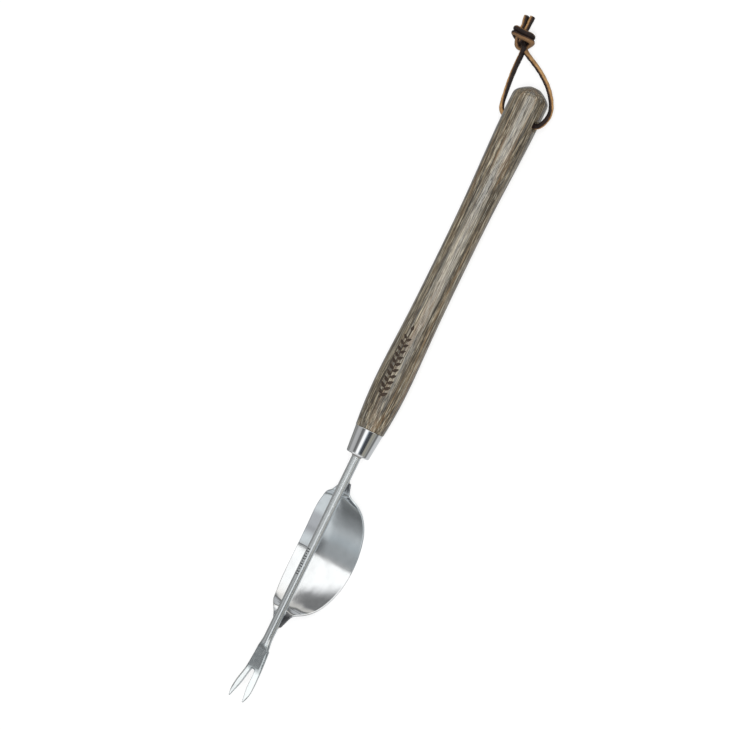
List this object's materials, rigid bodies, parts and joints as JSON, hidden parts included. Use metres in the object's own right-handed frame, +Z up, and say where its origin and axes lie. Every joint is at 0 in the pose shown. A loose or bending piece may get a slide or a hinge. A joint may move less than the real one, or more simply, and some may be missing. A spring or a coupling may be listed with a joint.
{
  "type": "hand weeder",
  "caption": "Long wooden-handled hand weeder with a forked steel tip, a curved rocker plate welded under the shaft as a fulcrum, a tapered ferrule and a leather hanging loop.",
  "frame": {"origin": "middle of the rocker plate's sole, where the tool bears on level ground", "axes": "+X along the shaft from the fork to the butt of the handle, +Y across the tool, +Z up out of the ground, away from the rocker plate's sole"},
  "size_m": [0.6252, 0.0789, 0.0446],
  "materials": {
    "stained_ash": "satin, grey-brown stained open grain",
    "polished_steel": "polished",
    "shaft_steel": "fine satin",
    "sheet_steel": "polished sheet",
    "weld_steel": "ground bead",
    "resin": "cured, hidden",
    "thong": "two-tone tan and dark brown"
  },
  "bodies": {
    "tool": {"handle": "stained_ash", "ferrule": "polished_steel", "shaft_fork": "shaft_steel", "rocker_plate": "sheet_steel", "front_weld": "weld_steel", "rear_weld": "weld_steel", "ferrule_weld": "weld_steel", "tang_resin": "resin"},
    "lanyard": {"lanyard": "thong"}
  },
  "joints": [
    {"name": "lanyard_swing", "type": "hinge", "parent": "tool", "child": "lanyard", "pos_m": [0.40295, 0, 0.02835], "axis": [0, 1, 0], "range_deg": [-100, 100]}
  ]
}
